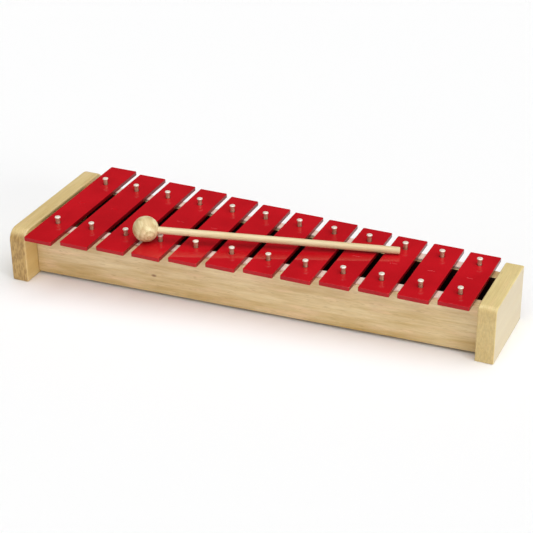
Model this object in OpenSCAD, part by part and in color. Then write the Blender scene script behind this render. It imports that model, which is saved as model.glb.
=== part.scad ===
// Xylophone with twelve red enamelled bars on a tapering wooden frame, and its wooden mallet.
// Millimetres. X runs along the instrument with the long, low bars at -X, Y points to the back
// and Z points up. The origin is on the floor, under the middle of the instrument.

/* [Frame] */
// Overall length, outer face to outer face of the end boards
frame_length = 352; // [349:1:356]
// Thickness of each end board
board_thickness = 13; // [12:0.5:14]
// Height of the left end board
left_board_height = 40; // [39:0.5:42]
// Height of the right end board
right_board_height = 41.5; // [39:0.5:42]
// Distance from the middle line to the left end board's front
left_board_front = 55.5; // [52:0.5:60]
// Distance from the middle line to the left end board's rear
left_board_rear = 59; // [52:0.5:60]
// Distance from the middle line to the right end board's front and to its rear
right_board_reach = 32.5; // [30:0.5:36]
// Radius of the left end board's two top corners
left_corner_radius = 9; // [3:0.5:12]
// Radius of the right end board's front top corner
right_corner_radius = 4.5; // [3:0.5:12]
// Thickness of each rail
rail_thickness = 9.5; // [8.5:0.5:11]
// Gap between the floor and the rails' lower edge
rail_clearance = 2.5; // [1.5:0.5:4]
// Height of the rails' upper edge above the floor
rail_top = 37; // [36:0.5:38]

/* [Bars] */
// Number of semitones from the lowest bar up to each bar: two octaves of a major scale, less a fourth
bar_semitones = [0, 2, 4, 5, 7, 9, 11, 12, 14, 16, 17, 19];
// Length of the lowest bar
longest_bar = 127; // [122:1:128]
// Width of every bar
bar_width = 21.8; // [20:0.1:22.4]
// Thickness of every bar
bar_thickness = 3.1; // [2.5:0.1:3.5]
// Distance between the middles of neighbouring bars
bar_pitch = 26.8; // [26.6:0.1:27]
// How far the row of bars is set towards the right end board
bar_row_shift = 0.5; // [0:0.1:1]
// Radius of the bars' corners seen from above
bar_corner_radius = 1; // [0.4:0.2:3]
// Diameter of the two holes in each bar
bar_hole_diameter = 3.6; // [3.5:0.1:3.8]

/* [Pins and felt] */
// Distance from the middle line to the pins of the lowest bar
first_pin_offset = 34.8; // [34.2:0.1:35.4]
// Distance from the middle line to the pins of the highest bar
last_pin_offset = 21.4; // [21:0.1:22]
// Diameter of a pin's shaft
pin_diameter = 3; // [2.6:0.1:3]
// Diameter of a pin's head
pin_head_diameter = 4; // [3.8:0.1:4.2]
// Height of a pin's head
pin_head_height = 1; // [0.7:0.1:1.2]
// Gap between a resting bar and the pins' heads
pin_play = 4; // [3.4:0.1:4.2]
// Depth of a pin in its rail
pin_depth = 18; // [14:1:19]
// Thickness of the felt strips
felt_thickness = 1.8; // [1.4:0.1:2.2]
// Width of the felt strips
felt_width = 7.5; // [6:0.5:9]
// Length of each felt strip's row along X
felt_reach = 312; // [300:1:316]

/* [Sound box floor] */
// Thickness of the floor panel
floor_thickness = 2.5; // [2:0.5:3]
// Depth of the grooves that hold the floor panel
groove_depth = 3; // [2:0.5:4]
// Height of the floor panel above the rails' lower edge
floor_lift = 4; // [3:0.5:5]

/* [Dowels] */
// Diameter of the dowels that join the rails to the end boards
dowel_diameter = 5; // [4:0.5:5]
// Length of each dowel
dowel_length = 20; // [18:1:20]
// Length of each dowel that is inside an end board
dowel_in_board = 8; // [6:1:9]
// Heights of the two dowels at each end of a rail
dowel_heights = [15, 30];

/* [Mallet] */
// Diameter of the mallet's ball
ball_diameter = 18.2; // [16.6:0.2:18.2]
// Diameter of the mallet's stick
stick_diameter = 5; // [4.5:0.1:5.2]
// Distance from the middle of the ball to the stick's free end
stick_reach = 176.5; // [172:0.5:180]
// Place of the ball along the instrument
ball_x = -75.5; // [-77.2:0.1:-75.5]
// Place of the ball across the instrument
ball_y = -35.3; // [-35.8:0.1:-35.2]
// Angle between the stick and the instrument's length, seen from above
stick_heading = 16.4; // [15.8:0.1:17]
// Depth of the hole in the ball for the stick
ball_hole_depth = 11; // [8:1:12]

/* [Hidden] */
$fn = 64;
bar_count = len(bar_semitones);
inner_x = frame_length / 2 - board_thickness;
bar_bottom = rail_top + felt_thickness;
bar_top = bar_bottom + bar_thickness;
first_bar_x = bar_row_shift - bar_pitch * (bar_count - 1) / 2;
rail_slope = (first_pin_offset - last_pin_offset) / (bar_pitch * (bar_count - 1));
rail_middle = (first_pin_offset + last_pin_offset) / 2;
rail_angle = atan(rail_slope);
rail_height = rail_top - rail_clearance;
floor_z = rail_clearance + floor_lift;
fit_gap = 0.03; // radial clearance of pins, dowels and the stick in their holes
panel_gap = 0.1; // clearance between the floor panel and each side of its grooves
panel_end_gap = 0.3; // clearance between the floor panel's edges and what they face
lay_gap = 0.3; // clearance between the lying mallet and the bars below it
pin_tip = 3; // length of a pin's point
pin_tip_diameter = 0.8;
pin_head_edge = 0.3; // height of the sloping edge round the top of a pin's head
ball_radius = ball_diameter / 2;
stick_radius = stick_diameter / 2;
stick_tilt = asin((ball_radius - stick_radius) / stick_reach);

function two_digits(n) = n < 10 ? str("0", n) : str(n);
function bar_name(n) = str("bar_", two_digits(n));
function bar_x(n) = first_bar_x + (n - 1) * bar_pitch;
// A bar's pitch rises as its length falls, with the length going as the root of the frequency
function bar_length(n) = longest_bar * pow(2, -bar_semitones[n - 1] / 24);
// Distance from the middle line to a rail's middle at x
function rail_y(x) = rail_middle - rail_slope * (x - bar_row_shift);

BAR_NODES = [for (n = [1 : bar_count]) bar_name(n)];

// Strip along a rail's line, seen from above, centred on the rail between x = -reach and reach
module rail_strip(reach, width) {
    half = width / 2 / cos(rail_angle);
    polygon([
        [-reach, rail_y(-reach) - half],
        [reach, rail_y(reach) - half],
        [reach, rail_y(reach) + half],
        [-reach, rail_y(-reach) + half]
    ]);
}

// The area between the rails, widened on each side by extra
module between_rails(reach, extra) {
    inset = rail_thickness / 2 / cos(rail_angle) - extra;
    polygon([
        [-reach, -rail_y(-reach) + inset],
        [reach, -rail_y(reach) + inset],
        [reach, rail_y(reach) - inset],
        [-reach, rail_y(-reach) - inset]
    ]);
}

// Rectangle with round corners, centred on the origin
module rounded_rectangle(length, width, radius) {
    square([length - 2 * radius, width], center = true);
    square([length, width - 2 * radius], center = true);
    for (x = [-1, 1], y = [-1, 1])
        translate([x * (length / 2 - radius), y * (width / 2 - radius)])
            circle(radius);
}

// Side outline of an end board from y = -front to y = rear, with round top corners
module board_outline(front, rear, height, front_radius, rear_radius) {
    inner_front = front - front_radius;
    inner_rear = rear - rear_radius;
    translate([-inner_front, 0])
        square([inner_front + inner_rear, height]);
    translate([-front, 0])
        square([front, height - front_radius]);
    translate([-inner_front, height - front_radius])
        circle(front_radius);
    if (rear_radius > 0) {
        square([rear, height - rear_radius]);
        translate([inner_rear, height - rear_radius])
            circle(rear_radius);
    }
}

// Cylinders at the dowels' places at one end of both rails, from x = start to start + length
module dowel_row(start, length, diameter) {
    for (y = [-1, 1], z = dowel_heights)
        translate([start, y * rail_y(start < 0 ? -inner_x : inner_x), z])
            rotate([0, 90, 0])
                cylinder(h = length, d = diameter);
}

// Dowel holes at one end of the frame, from x = start
module board_holes(start) {
    dowel_row(start, dowel_in_board + 1.5, dowel_diameter + 2 * fit_gap);
}

module left_end_board() {
    color("burlywood")
        difference() {
            translate([-frame_length / 2, 0, 0])
                rotate([90, 0, 90])
                    linear_extrude(board_thickness)
                        board_outline(
                            left_board_front,
                            left_board_rear,
                            left_board_height,
                            left_corner_radius,
                            left_corner_radius
                        );
            board_holes(-inner_x - dowel_in_board - 0.5);
        }
}

module right_end_board() {
    color("burlywood")
        difference() {
            translate([inner_x, 0, 0])
                rotate([90, 0, 90])
                    linear_extrude(board_thickness)
                        board_outline(
                            right_board_reach,
                            right_board_reach,
                            right_board_height,
                            right_corner_radius,
                            0
                        );
            board_holes(inner_x - 1);
        }
}

// A rail on the +Y side, with its groove, pin holes and dowel holes
module rail() {
    dowel_hole = dowel_length - dowel_in_board + 0.5;
    difference() {
        translate([0, 0, rail_clearance])
            linear_extrude(rail_height)
                rail_strip(inner_x, rail_thickness);
        translate([0, 0, floor_z - panel_gap])
            linear_extrude(floor_thickness + 2 * panel_gap)
                between_rails(frame_length, groove_depth);
        for (n = [1 : bar_count])
            translate([bar_x(n), rail_y(bar_x(n)), rail_top - pin_depth - 0.5])
                cylinder(h = pin_depth + 1, d = pin_diameter + 2 * fit_gap);
        dowel_row(-inner_x - 1, dowel_hole + 1, dowel_diameter + 2 * fit_gap);
        dowel_row(inner_x - dowel_hole, dowel_hole + 1, dowel_diameter + 2 * fit_gap);
    }
}

module rear_rail() {
    color("tan") rail();
}

module front_rail() {
    color("tan") mirror([0, 1, 0]) rail();
}

module rail_dowels() {
    color("wheat") {
        dowel_row(-inner_x - dowel_in_board, dowel_length, dowel_diameter);
        dowel_row(inner_x + dowel_in_board - dowel_length, dowel_length, dowel_diameter);
    }
}

// Thin dark panel that closes the sound box from below, held in the rails' grooves
module floor_panel() {
    color("#2e2019")
        translate([0, 0, floor_z])
            linear_extrude(floor_thickness)
                between_rails(inner_x - panel_end_gap, groove_depth - panel_end_gap);
}

// A felt strip on the +Y rail, with the pins passing through it
module felt_strip() {
    difference() {
        translate([0, 0, rail_top])
            linear_extrude(felt_thickness)
                rail_strip(felt_reach / 2, felt_width);
        for (n = [1 : bar_count])
            translate([bar_x(n), rail_y(bar_x(n)), rail_top - 1])
                cylinder(h = felt_thickness + 2, d = pin_diameter + 2 * fit_gap);
    }
}

module rear_felt_strip() {
    color("mistyrose") felt_strip();
}

module front_felt_strip() {
    color("mistyrose") mirror([0, 1, 0]) felt_strip();
}

// A headed nail with its point in the rail, standing on the origin at the rail's upper edge
module pin() {
    head_z = bar_top + pin_play - rail_top;
    translate([0, 0, -pin_depth])
        cylinder(h = pin_tip, d1 = pin_tip_diameter, d2 = pin_diameter);
    translate([0, 0, pin_tip - pin_depth])
        cylinder(h = head_z + pin_depth - pin_tip, d = pin_diameter);
    translate([0, 0, head_z])
        cylinder(h = pin_head_height - pin_head_edge, d = pin_head_diameter);
    translate([0, 0, head_z + pin_head_height - pin_head_edge])
        cylinder(
            h = pin_head_edge,
            d1 = pin_head_diameter,
            d2 = pin_head_diameter - 2 * pin_head_edge
        );
}

// The twelve pins of one rail, at the front for side = -1 and at the rear for side = 1
module pin_row(side) {
    for (n = [1 : bar_count])
        translate([bar_x(n), side * rail_y(bar_x(n)), rail_top])
            pin();
}

module front_pins() {
    color("silver") pin_row(-1);
}

module rear_pins() {
    color("silver") pin_row(1);
}

module bar(n) {
    hole_y = rail_y(bar_x(n));
    color("firebrick")
        translate([bar_x(n), 0, bar_bottom])
            difference() {
                linear_extrude(bar_thickness)
                    rounded_rectangle(bar_width, bar_length(n), bar_corner_radius);
                for (y = [-hole_y, hole_y])
                    translate([0, y, -1])
                        cylinder(h = bar_thickness + 2, d = bar_hole_diameter);
            }
}

// Places its children where the mallet lies, with +X running from the ball along the stick
module lay_mallet() {
    translate([ball_x, ball_y, bar_top + lay_gap + ball_radius])
        rotate([0, stick_tilt, stick_heading])
            children();
}

// The sphere is turned a quarter turn so that its own seam is clear of the hole
module mallet_ball() {
    color("burlywood")
        lay_mallet()
            difference() {
                rotate([0, 0, 90])
                    sphere(d = ball_diameter);
                translate([ball_radius - ball_hole_depth, 0, 0])
                    rotate([0, 90, 0])
                        cylinder(h = ball_hole_depth + 1, d = stick_diameter + 2 * fit_gap);
            }
}

module mallet_stick() {
    start = ball_radius - ball_hole_depth;
    edge = 0.5;
    color("wheat")
        lay_mallet()
            rotate([0, 90, 0]) {
                translate([0, 0, start])
                    cylinder(h = stick_reach - start - edge, d = stick_diameter);
                translate([0, 0, stick_reach - edge])
                    cylinder(h = edge, d1 = stick_diameter, d2 = stick_diameter - 2 * edge);
            }
}

left_end_board();
right_end_board();
front_rail();
rear_rail();
rail_dowels();
floor_panel();
front_felt_strip();
rear_felt_strip();
front_pins();
rear_pins();
for (n = [1 : bar_count])
    bar(n);
mallet_ball();
mallet_stick();
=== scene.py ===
import math

import bmesh
import bpy
from mathutils import Matrix, Vector, noise


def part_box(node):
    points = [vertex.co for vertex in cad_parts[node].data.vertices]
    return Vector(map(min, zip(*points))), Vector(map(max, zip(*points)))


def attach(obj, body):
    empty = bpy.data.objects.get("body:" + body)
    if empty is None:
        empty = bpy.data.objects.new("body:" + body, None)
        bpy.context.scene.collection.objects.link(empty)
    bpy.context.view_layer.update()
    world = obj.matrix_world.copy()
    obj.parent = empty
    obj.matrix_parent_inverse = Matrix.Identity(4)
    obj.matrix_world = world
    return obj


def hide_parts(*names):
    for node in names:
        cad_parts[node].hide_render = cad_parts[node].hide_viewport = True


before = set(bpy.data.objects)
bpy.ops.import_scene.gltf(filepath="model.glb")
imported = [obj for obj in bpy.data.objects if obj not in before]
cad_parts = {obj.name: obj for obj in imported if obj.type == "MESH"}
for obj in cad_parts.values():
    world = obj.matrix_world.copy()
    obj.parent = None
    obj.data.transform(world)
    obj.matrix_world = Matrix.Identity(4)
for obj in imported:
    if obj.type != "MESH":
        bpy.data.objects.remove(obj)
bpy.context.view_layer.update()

MM = 0.001
PIN_HEAD_HEIGHT = 1.0 * MM
BAR_NAMES = sorted(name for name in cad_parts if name.startswith("bar_"))


# ---------------------------------------------------------------- places read from the CAD

def box_of(node):
    low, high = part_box(node)
    return Vector(low), Vector(high)


def middle_x(node):
    low, high = box_of(node)
    return (low.x + high.x) / 2


def points_near(node, x, reach):
    """The CAD node's own points whose distance from x along the instrument is at most reach."""
    return [v.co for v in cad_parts[node].data.vertices if abs(v.co.x - x) <= reach]


def pin_places(node):
    """Where each pin of a row stands, as (x, y), one for each bar."""
    places = []
    for bar in BAR_NAMES:
        x = middle_x(bar)
        ys = [p.y for p in points_near(node, x, 3 * MM)]
        places.append((x, (min(ys) + max(ys)) / 2))
    return places


def strip_corners(node):
    """The four corners of a slanting strip seen from above, anticlockwise."""
    low, high = box_of(node)
    left = [p.y for p in points_near(node, low.x, 0.1 * MM)]
    right = [p.y for p in points_near(node, high.x, 0.1 * MM)]
    return [
        (low.x, min(left)),
        (high.x, min(right)),
        (high.x, max(right)),
        (low.x, max(left)),
    ]


# ---------------------------------------------------------------- mesh building

def rounded_polygon(corners, radii, inset=0.0, steps=6):
    """Points round a convex polygon with round corners, moved inwards by inset, anticlockwise."""
    count = len(corners)
    sides = []
    for i in range(count):
        start, end = Vector(corners[i]), Vector(corners[(i + 1) % count])
        along = (end - start).normalized()
        sides.append((start + Vector((-along.y, along.x)) * inset, along))
    points = []
    for i in range(count):
        (start_in, along_in), (start_out, along_out) = sides[i - 1], sides[i]
        turned = along_in.x * along_out.y - along_in.y * along_out.x
        gap = start_out - start_in
        corner = start_in + along_in * ((gap.x * along_out.y - gap.y * along_out.x) / turned)
        inward_in = Vector((-along_in.y, along_in.x))
        inward_out = Vector((-along_out.y, along_out.x))
        radius = max(radii[i] - inset, 0.03 * MM)
        centre = corner + (inward_in + inward_out) * radius / (1 + inward_in.dot(inward_out))
        first = math.atan2(-inward_in.y, -inward_in.x)
        turn = math.atan2(turned, along_in.dot(along_out))
        for k in range(steps + 1):
            angle = first + turn * k / steps
            points.append(centre + Vector((math.cos(angle), math.sin(angle))) * radius)
    return points


def circle(centre, radius, steps=32):
    return [
        Vector(centre)
        + Vector((math.cos(2 * math.pi * k / steps), math.sin(2 * math.pi * k / steps))) * radius
        for k in range(steps)
    ]


def oval(centre, half_length, half_width, steps=28):
    """A round-ended slot's outline, longer across the bar than along it."""
    straight = half_length - half_width
    points = []
    for k in range(steps):
        angle = 2 * math.pi * k / steps
        shift = straight if math.cos(angle) > 0 else -straight
        points.append(
            Vector(centre)
            + Vector((shift + half_width * math.cos(angle), half_width * math.sin(angle)))
        )
    return points


def edge_rings(low, high, edge, steps=4):
    """(inset, height) pairs from the lower to the upper face of a solid whose edges are rounded."""
    turns = [math.pi / 2 * k / steps for k in range(steps + 1)]
    lower = [(edge * (1 - math.sin(t)), low + edge * (1 - math.cos(t))) for t in turns]
    upper = [(edge * (1 - math.cos(t)), high - edge * (1 - math.sin(t))) for t in turns]
    return lower + upper


def ring(bm, points):
    return [bm.verts.new(p) for p in points]


def join_rings(bm, first, second):
    for k in range(len(first)):
        nxt = (k + 1) % len(first)
        bm.faces.new((first[k], first[nxt], second[nxt], second[k]))


def ring_edges(bm, verts):
    return [bm.edges.get((verts[k], verts[(k + 1) % len(verts)])) for k in range(len(verts))]


def add_plate(bm, outline, low, high, edge, place, holes=(), lip=0.0, dents=()):
    """A solid with rounded edges: outline(inset) gives its outline, and place puts (u, v, height).

    edge and lip are the radii that round the outline's edges and the holes' edges. holes are
    (centre, radius) pairs that go right through. dents are (outline, depth) pairs pressed into the
    upper face, where outline(inset) gives the dent's own outline.
    """
    rings = [
        ring(bm, [place(p.x, p.y, height) for p in outline(inset)])
        for inset, height in edge_rings(low, high, edge)
    ]
    caps = [[rings[0]], [rings[-1]]]
    for first, second in zip(rings, rings[1:]):
        join_rings(bm, first, second)
    for centre, radius in holes:
        walls = [
            ring(bm, [place(p.x, p.y, height) for p in circle(centre, radius + grow)])
            for grow, height in edge_rings(low, high, lip, steps=3)
        ]
        for first, second in zip(walls, walls[1:]):
            join_rings(bm, first, second)
        caps[0].append(walls[0])
        caps[1].append(walls[-1])
    for dent_outline, depth in dents:
        steps = 4
        slopes = []
        for k in range(steps + 1):
            fall = depth * (1 - math.cos(math.pi * k / steps)) / 2
            points = dent_outline(depth * 1.6 * k / steps)
            slopes.append(ring(bm, [place(p.x, p.y, high - fall) for p in points]))
        for first, second in zip(slopes, slopes[1:]):
            join_rings(bm, first, second)
        bm.faces.new(slopes[-1])
        caps[1].append(slopes[0])
    for loops in caps:
        edges = [e for loop in loops for e in ring_edges(bm, loop)]
        bmesh.ops.triangle_fill(bm, use_beauty=True, edges=edges)


def add_turned(bm, profile, place, steps=32):
    """A turned solid: profile is (radius, distance along the axis) pairs, from end to end."""
    rings = []
    for radius, along in profile:
        if radius == 0:
            rings.append([bm.verts.new(place(0, 0, along))])
        else:
            rings.append(ring(bm, [place(p.x, p.y, along) for p in circle((0, 0), radius, steps)]))
    for first, second in zip(rings, rings[1:]):
        for k in range(steps):
            nxt = (k + 1) % steps
            corners = [first[k % len(first)], first[nxt % len(first)]]
            corners += [second[nxt % len(second)], second[k % len(second)]]
            bm.faces.new(list(dict.fromkeys(corners)))


def even_normals(piece):
    """Shades large faces flat and leaves the rounding to the narrow ones beside them."""
    weighted = piece.modifiers.new("even_normals", "WEIGHTED_NORMAL")
    weighted.weight = 90


def finish_mesh(name, bm, material, body, replaced):
    """Turns bm into a shown piece that rides on body and stands for the CAD node replaced."""
    bmesh.ops.recalc_face_normals(bm, faces=bm.faces)
    mesh = bpy.data.meshes.new(name)
    bm.to_mesh(mesh)
    bm.free()
    mesh.materials.append(material)
    mesh.polygons.foreach_set("use_smooth", [True] * len(mesh.polygons))
    piece = bpy.data.objects.new(name, mesh)
    bpy.context.scene.collection.objects.link(piece)
    even_normals(piece)
    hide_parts(replaced)
    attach(piece, body)
    return piece


def flat_place(u, v, height):
    return Vector((u, v, height))


def dress(node, material, edge):
    """Gives a CAD node that stays its material, and rounds its sharp edges by edge."""
    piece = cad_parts[node]
    piece.data.materials.clear()
    piece.data.materials.append(material)
    weld = piece.modifiers.new("one_skin", "WELD")
    weld.merge_threshold = 0.001 * MM
    ease = piece.modifiers.new("eased_edges", "BEVEL")
    ease.width = edge
    ease.segments = 3
    ease.limit_method = "ANGLE"
    ease.angle_limit = math.radians(50)
    ease.use_clamp_overlap = False
    even_normals(piece)


# ---------------------------------------------------------------- materials

def new_material(name):
    """A material, its node tree and its shader, ready for nodes to be linked."""
    material = bpy.data.materials.new(name)
    material.use_nodes = True
    tree = material.node_tree
    shader = next(n for n in tree.nodes if n.type == "BSDF_PRINCIPLED")
    return material, tree, shader


def add_node(tree, kind, inputs=None, **settings):
    """A shader node. inputs maps a socket's name or number to a value or another node's output."""
    made = tree.nodes.new("ShaderNode" + kind)
    for key, value in settings.items():
        setattr(made, key, value)
    for key, value in (inputs or {}).items():
        if isinstance(value, bpy.types.NodeSocket):
            tree.links.new(value, made.inputs[key])
        else:
            made.inputs[key].default_value = value
    return made


def maths(tree, operation, first, second=0.0, clamp=False):
    made = add_node(tree, "Math", {0: first, 1: second}, operation=operation, use_clamp=clamp)
    return made.outputs[0]


def remap(tree, value, low, high, to_low=0.0, to_high=1.0):
    made = add_node(
        tree,
        "MapRange",
        {"Value": value, "From Min": low, "From Max": high, "To Min": to_low, "To Max": to_high},
        clamp=True,
        interpolation_type="SMOOTHSTEP",
    )
    return made.outputs["Result"]


def blend_colour(tree, share, first, second, blend_type="MIX"):
    made = add_node(
        tree,
        "Mix",
        {"Factor": share, 6: first, 7: second},
        data_type="RGBA",
        blend_type=blend_type,
    )
    return made.outputs[2]


def stretched_noise(tree, coords, scale, detail=2.0, roughness=0.5):
    """Noise whose grain has its own size along each axis: scale is cycles per metre."""
    sized = add_node(tree, "Mapping", {"Vector": coords, "Scale": scale}, vector_type="POINT")
    made = add_node(
        tree,
        "TexNoise",
        {
            "Vector": sized.outputs[0],
            "Scale": 1.0,
            "Detail": detail,
            "Roughness": roughness,
        },
    )
    return made.outputs["Fac"]


def object_coords(tree):
    return add_node(tree, "TexCoord").outputs["Object"]


def moved(tree, coords, origin):
    """The coordinates measured from origin."""
    made = add_node(
        tree,
        "Mapping",
        {"Vector": coords, "Location": [-c for c in origin]},
        vector_type="POINT",
    )
    return made.outputs[0]


def turned(tree, coords, angles):
    made = add_node(
        tree, "VectorRotate", {"Vector": coords, "Rotation": angles}, rotation_type="EULER_XYZ"
    )
    return made.outputs[0]


def bump(tree, shader, height, distance, strength=1.0):
    made = add_node(
        tree, "Bump", {"Height": height, "Distance": distance, "Strength": strength}
    )
    tree.links.new(made.outputs[0], shader.inputs["Normal"])


def wood(name, pale, deep, grain=(0, 0, 0), pith=(0, 0, 0), ring_gap=2.6 * MM,
         figure=0.25, pores=0.3, end_grain=0.3, band=None, knot=None, tinted=None):
    """Lacquered hardwood cut from a log whose grain lies along X once turned by grain.

    pith is a point on the log's centre line. The growth rings are shells round that line, so each
    face shows the figure that a real cut does. band is a (low, high) pair of heights between which
    the wood turns from its deeper to its paler tone. tinted is a direction, a colour and how much
    of that colour the faces that look along the direction take.
    """
    material, tree, shader = new_material(name)
    coords = object_coords(tree)
    log = turned(tree, moved(tree, coords, pith), grain)
    warp = stretched_noise(tree, log, (6, 30, 30), detail=2.0)
    across = add_node(tree, "VectorMath", {0: log, 1: (0.02, 1, 1)}, operation="MULTIPLY")
    radius = add_node(tree, "VectorMath", {0: across.outputs[0]}, operation="LENGTH")
    bent = maths(tree, "ADD", radius.outputs["Value"], maths(tree, "MULTIPLY", warp, 9 * MM))
    phase = maths(tree, "DIVIDE", bent, ring_gap)
    ring_place = maths(tree, "FRACT", phase)
    late = remap(tree, ring_place, 0.15, 0.85)
    early = remap(tree, ring_place, 0.85, 1.0, 1.0, 0.0)
    rings = maths(tree, "MULTIPLY", late, early)
    streak = remap(tree, stretched_noise(tree, log, (26, 520, 520), detail=3.0), 0.3, 0.72)
    fibre = stretched_noise(tree, log, (90, 2600, 2600), detail=2.0)
    cloud = remap(tree, stretched_noise(tree, log, (16, 70, 70), detail=3.0), 0.3, 0.7)
    dash = remap(tree, stretched_noise(tree, log, (150, 1500, 1500), detail=1.0), 0.63, 0.74)

    tone = maths(tree, "MULTIPLY", rings, figure)
    tone = maths(tree, "ADD", tone, maths(tree, "MULTIPLY", streak, 0.28))
    tone = maths(tree, "ADD", tone, maths(tree, "MULTIPLY", cloud, 0.34))
    if band:
        height = add_node(tree, "SeparateXYZ", {0: coords}).outputs["Z"]
        wavy = maths(tree, "ADD", height, maths(tree, "MULTIPLY", warp, 12 * MM))
        tone = maths(tree, "ADD", tone, remap(tree, wavy, band[0], band[1], 0.42, 0.0))
    tone = maths(tree, "MINIMUM", tone, 1.0)
    colour = blend_colour(tree, tone, (*pale, 1), (*deep, 1))
    blush = remap(tree, stretched_noise(tree, log, (30, 130, 130), detail=2.0), 0.5, 0.75)
    rosy = [c * k for c, k in zip(pale, (1.0, 0.86, 0.88))]
    colour = blend_colour(tree, maths(tree, "MULTIPLY", blush, 0.5), colour, (*rosy, 1))
    fine = remap(tree, fibre, 0.3, 0.7, 0.93, 1.05)
    fine_colour = add_node(tree, "CombineColor", {0: fine, 1: fine, 2: fine}).outputs[0]
    colour = blend_colour(tree, 1.0, colour, fine_colour, "MULTIPLY")
    dash_share = maths(tree, "MULTIPLY", dash, pores)
    dark = [c * k for c, k in zip(deep, (0.62, 0.52, 0.42))]
    colour = blend_colour(tree, dash_share, colour, (*dark, 1))

    normal = add_node(tree, "TexCoord").outputs["Normal"]
    facing = add_node(tree, "SeparateXYZ", {0: turned(tree, normal, grain)}).outputs["X"]
    cut_across = remap(tree, maths(tree, "ABSOLUTE", facing), 0.6, 0.95)
    end_share = maths(tree, "MULTIPLY", cut_across, end_grain)
    vessels = remap(tree, stretched_noise(tree, log, (60, 900, 240), detail=2.0), 0.35, 0.65)
    end_tone = blend_colour(
        tree,
        vessels,
        (*[c * k for c, k in zip(deep, (0.60, 0.50, 0.42))], 1),
        (*[c * k for c, k in zip(deep, (0.92, 0.86, 0.80))], 1),
    )
    colour = blend_colour(tree, end_share, colour, end_tone)

    if knot:
        spot = moved(tree, coords, knot)
        squeezed = add_node(tree, "VectorMath", {0: spot, 1: (0.55, 1, 1)}, operation="MULTIPLY")
        away = add_node(tree, "VectorMath", {0: squeezed.outputs[0]}, operation="LENGTH")
        near = remap(tree, away.outputs["Value"], 0.4 * MM, 1.5 * MM, 1.0, 0.0)
        colour = blend_colour(
            tree, maths(tree, "MULTIPLY", near, 0.75), colour, (0.20, 0.07, 0.025, 1)
        )
    if tinted:
        direction, tint, share = tinted
        looks = add_node(tree, "VectorMath", {0: normal, 1: direction}, operation="DOT_PRODUCT")
        tint_share = remap(tree, looks.outputs["Value"], 0.75, 0.95, 0.0, share)
        colour = blend_colour(tree, tint_share, colour, (*tint, 1))
    tree.links.new(colour, shader.inputs["Base Color"])
    tree.links.new(remap(tree, fibre, 0.3, 0.7, 0.36, 0.50), shader.inputs["Roughness"])
    relief = maths(tree, "SUBTRACT", fibre, maths(tree, "MULTIPLY", dash, 0.8))
    bump(tree, shader, relief, 0.05 * MM, 0.5)
    shader.inputs["Coat Weight"].default_value = 0.2
    shader.inputs["Coat Roughness"].default_value = 0.25
    shader.inputs["IOR"].default_value = 1.45
    return material


def enamel(name):
    """Glossy red enamel: faintly rippled and dusty, with painted shade that darkens the sides and
    ends of each bar.
    """
    material, tree, shader = new_material(name)
    coords = object_coords(tree)
    cloud = remap(tree, stretched_noise(tree, coords, (35, 35, 35), detail=2.0), 0.3, 0.7)
    colour = blend_colour(tree, cloud, (0.47, 0.0037, 0.0092, 1), (0.55, 0.0053, 0.0120, 1))
    speck = remap(tree, stretched_noise(tree, coords, (900, 900, 900), detail=1.0), 0.70, 0.78)
    colour = blend_colour(
        tree, maths(tree, "MULTIPLY", speck, 0.25), colour, (0.62, 0.04, 0.05, 1)
    )
    normal = add_node(tree, "TexCoord").outputs["Normal"]
    facing = add_node(tree, "SeparateXYZ", {0: normal})
    along = maths(tree, "ABSOLUTE", facing.outputs["X"])
    across = maths(tree, "ABSOLUTE", facing.outputs["Y"])
    # Painted shade: faces that look along or across the bar are darkened towards near black,
    # standing in for the shade on the bars' sides and ends
    painted_side_shade = maths(
        tree,
        "MAXIMUM",
        remap(tree, along, 0.55, 0.95, 0.0, 0.62),
        remap(tree, across, 0.65, 1.0, 0.0, 0.25),
    )
    colour = blend_colour(tree, painted_side_shade, colour, (0.075, 0.0035, 0.0045, 1))
    tree.links.new(colour, shader.inputs["Base Color"])
    wipe = stretched_noise(tree, coords, (120, 30, 60), detail=3.0)
    tree.links.new(remap(tree, wipe, 0.3, 0.75, 0.035, 0.065), shader.inputs["Roughness"])
    ripple = stretched_noise(tree, coords, (260, 260, 260), detail=1.0)
    bump(tree, shader, ripple, 0.02 * MM, 0.25)
    shader.inputs["IOR"].default_value = 1.33
    return material


def plated_steel(name, head_foot):
    """Plated wire nails of one metal: above the height head_foot the heads take a pale colour as
    painted light from above, and the drawn shanks a darker tan as painted shade and painted
    reflection.
    """
    material, tree, shader = new_material(name)
    coords = object_coords(tree)
    drawn = stretched_noise(tree, coords, (4000, 4000, 260), detail=2.0)
    bloom = remap(tree, stretched_noise(tree, coords, (500, 500, 500), detail=2.0), 0.35, 0.7)
    height = add_node(tree, "SeparateXYZ", {0: coords}).outputs["Z"]
    head = remap(tree, height, head_foot - 0.3 * MM, head_foot + 0.3 * MM)
    # Painted light: pale lit heads, and shanks given a darker tan as painted shade and painted
    # reflection
    shaded_shank_colour = blend_colour(tree, bloom, (0.66, 0.55, 0.38, 1), (0.48, 0.37, 0.22, 1))
    lit_head_colour = blend_colour(tree, bloom, (0.94, 0.90, 0.80, 1), (0.84, 0.76, 0.62, 1))
    colour = blend_colour(tree, head, shaded_shank_colour, lit_head_colour)
    tree.links.new(colour, shader.inputs["Base Color"])
    tree.links.new(remap(tree, drawn, 0.3, 0.7, 0.36, 0.56), shader.inputs["Roughness"])
    tree.links.new(remap(tree, head, 0.0, 1.0, 0.75, 0.35), shader.inputs["Metallic"])
    bump(tree, shader, drawn, 0.02 * MM, 0.4)
    return material


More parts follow.
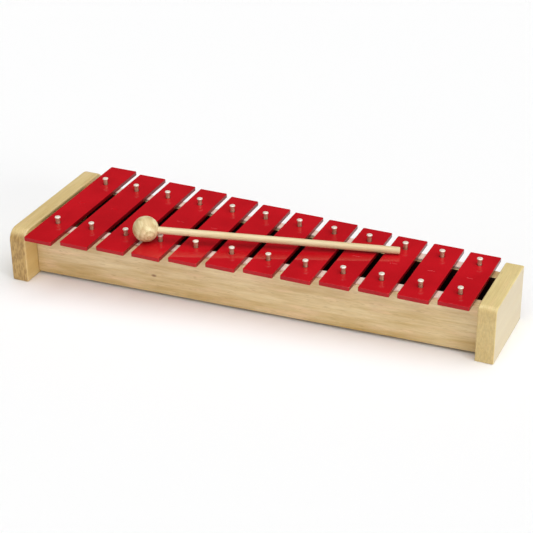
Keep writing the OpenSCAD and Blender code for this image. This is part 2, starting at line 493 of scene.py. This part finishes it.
def felt(name):
    """Dense pale wool felt: mottled fibres and a soft sheen."""
    material, tree, shader = new_material(name)
    coords = object_coords(tree)
    tuft = stretched_noise(tree, coords, (1400, 1400, 1400), detail=4.0, roughness=0.65)
    cloud = remap(tree, stretched_noise(tree, coords, (120, 160, 160), detail=2.0), 0.3, 0.7)
    colour = blend_colour(
        tree, remap(tree, tuft, 0.3, 0.7), (0.78, 0.57, 0.47, 1), (0.94, 0.75, 0.63, 1)
    )
    colour = blend_colour(tree, maths(tree, "MULTIPLY", cloud, 0.3), colour, (0.72, 0.50, 0.40, 1))
    tree.links.new(colour, shader.inputs["Base Color"])
    bump(tree, shader, tuft, 0.2 * MM, 0.8)
    shader.inputs["Roughness"].default_value = 0.95
    shader.inputs["Sheen Weight"].default_value = 0.4
    shader.inputs["Sheen Roughness"].default_value = 0.5
    return material


def hardboard(name):
    """Dark pressed hardboard: matted fibres, smooth on top."""
    material, tree, shader = new_material(name)
    coords = object_coords(tree)
    mat = stretched_noise(tree, coords, (300, 300, 300), detail=5.0, roughness=0.6)
    colour = blend_colour(
        tree, remap(tree, mat, 0.3, 0.7), (0.035, 0.012, 0.007, 1), (0.075, 0.030, 0.018, 1)
    )
    tree.links.new(colour, shader.inputs["Base Color"])
    tree.links.new(remap(tree, mat, 0.3, 0.7, 0.75, 0.95), shader.inputs["Roughness"])
    bump(tree, shader, mat, 0.08 * MM, 0.4)
    shader.inputs["Specular IOR Level"].default_value = 0.15
    return material


# ---------------------------------------------------------------- pieces

def build_bar(node, pins, material):
    """One enamelled bar with its two holes and the plain mark that is pressed in its middle."""
    low, high = box_of(node)
    middle = (low + high) / 2
    corners = [(low.x, low.y), (high.x, low.y), (high.x, high.y), (low.x, high.y)]
    corner_radius, edge, hole_edge = 1.0 * MM, 0.4 * MM, 0.25 * MM
    hole_radius = 1.8 * MM
    mark_half_length, mark_half_width, mark_depth = 3.0 * MM, 0.9 * MM, 0.34 * MM

    def outline(inset):
        return rounded_polygon(corners, [corner_radius] * 4, inset, steps=7)

    def mark(inset):
        return oval((middle.x, middle.y), mark_half_length - inset, mark_half_width - inset)

    bm = bmesh.new()
    add_plate(
        bm,
        outline,
        low.z,
        high.z,
        edge,
        flat_place,
        holes=[(place, hole_radius) for place in pins],
        lip=hole_edge,
        dents=[(mark, mark_depth)],
    )
    return finish_mesh(node + "_enamelled", bm, material, node, node)


def build_board(node, name, material, front_radius, rear_radius, eased):
    """An end board with eased edges and round top corners."""
    low, high = box_of(node)
    corners = [(low.y, low.z), (high.y, low.z), (high.y, high.z), (low.y, high.z)]

    def outline(inset):
        return rounded_polygon(corners, [eased, eased, rear_radius, front_radius], inset, steps=9)

    bm = bmesh.new()
    add_plate(bm, outline, low.x, high.x, eased, lambda u, v, w: Vector((w, u, v)))
    return finish_mesh(name, bm, material, "frame", node)


def build_pins(node, name, material):
    """The twelve headed nails of one rail."""
    low, high = box_of(node)
    tip, shank, head = 0.4 * MM, 1.5 * MM, 2.0 * MM
    point_length = 3 * MM
    under = high.z - PIN_HEAD_HEIGHT
    profile = [
        (0, low.z),
        (tip, low.z),
        (shank, low.z + point_length),
        (shank, under - 0.3 * MM),
        (shank + 0.08 * MM, under - 0.1 * MM),
        (shank + 0.25 * MM, under),
        (head - 0.12 * MM, under),
        (head, under + 0.12 * MM),
        (head, high.z - 0.42 * MM),
        (head - 0.08 * MM, high.z - 0.24 * MM),
        (head - 0.30 * MM, high.z - 0.10 * MM),
        (head - 0.75 * MM, high.z - 0.02 * MM),
        (head - 1.40 * MM, high.z),
        (0, high.z),
    ]
    bm = bmesh.new()
    for x, y in pin_places(node):
        add_turned(bm, profile, lambda u, v, w: Vector((x + u, y + v, w)), steps=28)
    return finish_mesh(name, bm, material, "frame", node)


def build_felt(node, name, material):
    """A felt strip with frayed sides, pressed flat under the bars and puffed up between them."""
    low, high = box_of(node)
    corners = strip_corners(node)
    spans = [(box_of(bar)[0].x, box_of(bar)[1].x) for bar in BAR_NAMES]
    stations = 420
    thick = high.z - low.z
    puff_height, puff_reach = 0.22 * MM, 1.6 * MM
    tufts_per_metre, tuft_size, fluff_size = 900, 0.10 * MM, 0.05 * MM
    frayed_share = 0.2
    bm = bmesh.new()
    rings = []
    for k in range(stations + 1):
        share = k / stations
        x = low.x + (high.x - low.x) * share
        y_low = corners[0][1] + (corners[1][1] - corners[0][1]) * share
        y_high = corners[3][1] + (corners[2][1] - corners[3][1]) * share
        gap = min(min(abs(x - a), abs(x - b)) if not a < x < b else 0 for a, b in spans)
        puff = puff_height * min(gap / puff_reach, 1)
        points = []
        for across, up in felt_section(11, 4):
            y = (y_low + y_high) / 2 + across * (y_high - y_low) / 2
            z = low.z + up * thick
            spot = Vector([c * tufts_per_metre for c in (x, y, z)])
            rough = noise.noise(spot) * tuft_size + noise.noise(spot * 2.7) * fluff_size
            side = max(0.0, abs(across) - (1 - frayed_share)) / frayed_share
            y += math.copysign(rough * side, across)
            if up > 0.99:
                z += puff * (1 - 0.6 * across * across) + min(rough, 0.0) * 0.4
            points.append((x, y, z))
        rings.append(ring(bm, points))
    for first, second in zip(rings, rings[1:]):
        join_rings(bm, first, second)
    bm.faces.new(rings[0])
    bm.faces.new(rings[-1])
    piece = finish_mesh(name, bm, material, "frame", node)
    return piece


def felt_section(across_steps, up_steps):
    """(across, up) pairs round a strip's section, from -1 to 1 across and 0 to 1 up."""
    points = [(-1 + 2 * k / across_steps, 0.0) for k in range(across_steps)]
    points += [(1.0, k / up_steps) for k in range(up_steps)]
    points += [(1 - 2 * k / across_steps, 1.0) for k in range(across_steps)]
    points += [(-1.0, 1 - k / up_steps) for k in range(up_steps)]
    rounded = []
    for across, up in points:
        if abs(across) == 1.0 and up in (0.0, 1.0):
            across *= 0.985
        rounded.append((across, up))
    return rounded


def mallet_line():
    """The ball's centre and radius, and the direction that the stick leaves it in."""
    ball_low, ball_high = box_of("mallet_ball")
    radius = (ball_high.z - ball_low.z) / 2
    centre = ball_low + Vector((radius, radius, radius))
    stick_low, stick_high = box_of("mallet_stick")
    stick_middle = (stick_low + stick_high) / 2
    direction = (stick_middle - centre).normalized()
    return centre, radius, direction


def build_mallet(ball_material, stick_material):
    """A turned ball and its stick, lying on the bars."""
    centre, radius, direction = mallet_line()
    turn = direction.to_track_quat("Z", "Y").to_matrix()
    stick_low, stick_high = box_of("mallet_stick")
    stick_radius, fit_gap = 2.5 * MM, 0.03 * MM
    tip_edge, butt_edge = 0.9 * MM, 0.2 * MM
    side = math.sqrt(1 - direction.x**2)
    reach = (stick_high.x - centre.x - (stick_radius - 0.5 * MM) * side) / direction.x
    start = (stick_low.x - centre.x + stick_radius * side) / direction.x

    def place(u, v, along):
        return centre + turn @ Vector((u, v, along))

    hole = stick_radius + fit_gap
    far_side = math.pi - 0.12
    mouth = math.sqrt(radius**2 - hole**2)
    first_angle = math.asin((hole + 0.25 * MM) / radius)
    profile = [(0, start - 0.1 * MM), (hole, start - 0.1 * MM), (hole, mouth - 0.35 * MM)]
    profile.append((hole + 0.10 * MM, mouth - 0.15 * MM))
    steps = 40
    for k in range(steps + 1):
        angle = first_angle + (far_side - first_angle) * k / steps
        profile.append((radius * math.sin(angle), radius * math.cos(angle)))
    profile.append((0, radius * math.cos(far_side)))
    bm = bmesh.new()
    add_turned(bm, profile, place, steps=72)
    finish_mesh("mallet_turned_ball", bm, ball_material, "mallet", "mallet_ball")

    bm = bmesh.new()
    stations = 60
    profile = [
        (0, start),
        (stick_radius - butt_edge, start),
        (stick_radius, start + butt_edge),
    ]
    straight_end = reach - tip_edge - 0.3 * MM
    for k in range(1, stations):
        profile.append((stick_radius, start + (straight_end - start) * k / stations))
    tip_steps = 5
    for k in range(tip_steps + 1):
        angle = math.pi / 2 * k / tip_steps
        around = stick_radius - tip_edge + tip_edge * math.cos(angle)
        profile.append((around, reach - tip_edge + tip_edge * math.sin(angle)))
    profile.append((0, reach + 0.05 * MM))
    add_turned(bm, profile, place, steps=40)
    finish_mesh("mallet_turned_stick", bm, stick_material, "mallet", "mallet_stick")


# ---------------------------------------------------------------- the object

PALE = (0.72, 0.56, 0.30)
DEEP = (0.50, 0.32, 0.10)
# Near-black colour that the rails' faces looking into the box take
INNER_FACE_BLACK = (0.030, 0.011, 0.007)

# Painted shade: the ball's low side, close to the bars, is deeper in tone: the change runs between
# these heights from its centre
BALL_PAINTED_SHADE_LOW = -7 * MM
BALL_PAINTED_SHADE_HIGH = 5 * MM
# A small knot on the front rail's outer face, in metres
KNOT_PLACE = (-0.0705, -0.0361, 0.01575)

board_left = wood(
    "board_wood_left",
    (0.76, 0.60, 0.30),
    (0.56, 0.38, 0.13),
    grain=(0, 0, math.radians(90)),
    pith=(-0.235, 0, 0.012),
    ring_gap=9 * MM,
    figure=0.12,
    end_grain=1.0,
    # Painted shade: the board's inner face, which looks along +X towards the bars, is darkened to a
    # deeper brown
    tinted=((1, 0, 0), (0.56, 0.37, 0.11), 0.6),
)
board_right = wood(
    "board_wood_right",
    (0.80, 0.66, 0.32),
    (0.58, 0.41, 0.15),
    grain=(0, 0, math.radians(90)),
    pith=(0.100, 0, -0.060),
    ring_gap=8 * MM,
    figure=0.12,
    end_grain=0.4,
    # Painted sheen: the board's outer face, which looks along +X, is turned to a greyer, less
    # yellow tone as a painted reflection of the bright room
    tinted=((1, 0, 0), (0.61, 0.52, 0.37), 0.7),
)
rail_front = wood(
    "rail_wood_front",
    (0.83, 0.68, 0.40),
    DEEP,
    pith=(0, 0.035, -0.060),
    ring_gap=6 * MM,
    figure=0.14,
    pores=0.35,
    band=(8 * MM, 24 * MM),
    knot=KNOT_PLACE,
    tinted=((0, 1, 0), INNER_FACE_BLACK, 1.0),
)
rail_rear = wood(
    "rail_wood_rear",
    PALE,
    DEEP,
    pith=(0.02, -0.015, 0.105),
    ring_gap=6 * MM,
    figure=0.16,
    pores=0.35,
    tinted=((0, -1, 0), INNER_FACE_BLACK, 1.0),
)
dowel_wood = wood("dowel_wood", PALE, DEEP)
red = enamel("bar_enamel_red")
steel = plated_steel("pin_plated_steel", box_of("front_pins")[1].z - PIN_HEAD_HEIGHT)
wool = felt("pale_wool_felt")

build_board("left_end_board", "left_eased_board", board_left, 9 * MM, 9 * MM, 1.6 * MM)
build_board("right_end_board", "right_eased_board", board_right, 4.5 * MM, 0.9 * MM, 0.9 * MM)
dress("front_rail", rail_front, 0.6 * MM)
dress("rear_rail", rail_rear, 0.6 * MM)
dress("rail_dowels", dowel_wood, 0.4 * MM)
dress("floor_panel", hardboard("floor_hardboard"), 0.3 * MM)

front_places = pin_places("front_pins")
rear_places = pin_places("rear_pins")
for bar, front_place, rear_place in zip(BAR_NAMES, front_places, rear_places):
    build_bar(bar, [front_place, rear_place], red)
build_pins("front_pins", "front_nails", steel)
build_pins("rear_pins", "rear_nails", steel)
build_felt("front_felt_strip", "front_felt_pad", wool)
build_felt("rear_felt_strip", "rear_felt_pad", wool)

ball_centre, _, stick_direction = mallet_line()
heading = math.atan2(stick_direction.y, stick_direction.x)
ball_wood = wood(
    "ball_wood",
    (0.90, 0.80, 0.48),
    (0.40, 0.22, 0.05),
    grain=(0, math.radians(-40), -heading + math.radians(55)),
    pith=tuple(ball_centre + Vector((0.001, -0.002, 0.001))),
    ring_gap=3 * MM,
    figure=0.3,
    pores=0.3,
    end_grain=0.1,
    # Painted shade on the ball's low side, between these heights
    band=(ball_centre.z + BALL_PAINTED_SHADE_LOW, ball_centre.z + BALL_PAINTED_SHADE_HIGH),
)
stick_wood = wood(
    "stick_wood",
    (0.78, 0.66, 0.42),
    (0.60, 0.45, 0.20),
    grain=(0, 0, -heading),
    pith=tuple(ball_centre + Vector((0, 0.03, -0.01))),
    ring_gap=4 * MM,
    figure=0.15,
    pores=0.2,
)
build_mallet(ball_wood, stick_wood)


# ---------------------------------------------------------------- floor, light and camera

def build_floor():
    size = 12.0
    bm = bmesh.new()
    corners = [(-size, -size), (size, -size), (size, size), (-size, size)]
    bm.faces.new([bm.verts.new((x, y, 0)) for x, y in corners])
    mesh = bpy.data.meshes.new("studio_floor")
    bm.to_mesh(mesh)
    bm.free()
    material, tree, shader = new_material("studio_floor_white")
    shader.inputs["Base Color"].default_value = (0.92, 0.92, 0.92, 1)
    shader.inputs["Roughness"].default_value = 1.0
    shader.inputs["Specular IOR Level"].default_value = 0.0
    mesh.materials.append(material)
    floor = bpy.data.objects.new("studio_floor", mesh)
    bpy.context.scene.collection.objects.link(floor)


def soft_sun(name, azimuth, elevation, spread, strength):
    """A wide distant light. Azimuth 0 shines from the front and 90 from the right, in degrees."""
    lamp = bpy.data.lights.new(name, "SUN")
    lamp.energy = strength
    lamp.angle = math.radians(spread)
    light = bpy.data.objects.new(name, lamp)
    a, e = math.radians(azimuth), math.radians(elevation)
    source = Vector((math.sin(a) * math.cos(e), -math.cos(a) * math.cos(e), math.sin(e)))
    light.rotation_euler = source.to_track_quat("Z", "Y").to_euler()
    bpy.context.scene.collection.objects.link(light)


def build_world():
    """A dim room above a white sweep that rises a little over the horizon."""
    world = bpy.data.worlds.new("studio")
    world.use_nodes = True
    bpy.context.scene.world = world
    tree = world.node_tree
    back = next(n for n in tree.nodes if n.type == "BACKGROUND")
    up = add_node(tree, "SeparateXYZ", {0: add_node(tree, "TexCoord").outputs["Generated"]})
    rise = remap(tree, up.outputs["Z"], 0.02, 0.12)
    colour = blend_colour(tree, rise, (0.95, 0.95, 0.95, 1), (0.07, 0.07, 0.07, 1))
    tree.links.new(colour, back.inputs["Color"])
    back.inputs["Strength"].default_value = 1.0


def build_camera():
    """The photograph's view: from the front right and above, through a long lens."""
    camera = bpy.data.cameras.new("photo_view")
    camera.sensor_width = 36
    camera.lens = 102.71
    camera.clip_start = 0.05
    camera.clip_end = 50
    eye = bpy.data.objects.new("photo_view", camera)
    place = Vector((0.38535, -0.85805, 0.53221))
    target = Vector((0.00026, -0.00021, 0.020))
    roll = -0.01131
    forward = (target - place).normalized()
    right = forward.cross(Vector((0, 0, 1))).normalized()
    up = right.cross(forward)
    side = right * math.cos(roll) + up * math.sin(roll)
    top = up * math.cos(roll) - right * math.sin(roll)
    turn = Matrix((side, top, -forward)).transposed()
    eye.matrix_world = Matrix.Translation(place) @ turn.to_4x4()
    bpy.context.scene.collection.objects.link(eye)
    bpy.context.scene.camera = eye


build_floor()
soft_sun("overhead", 70, 74, 80, 2.8)
soft_sun("key", 70, 14, 24, 0.98)
soft_sun("fill", -10, 26, 50, 0.5)
build_world()
build_camera()
bpy.context.scene.view_settings.view_transform = "Standard"
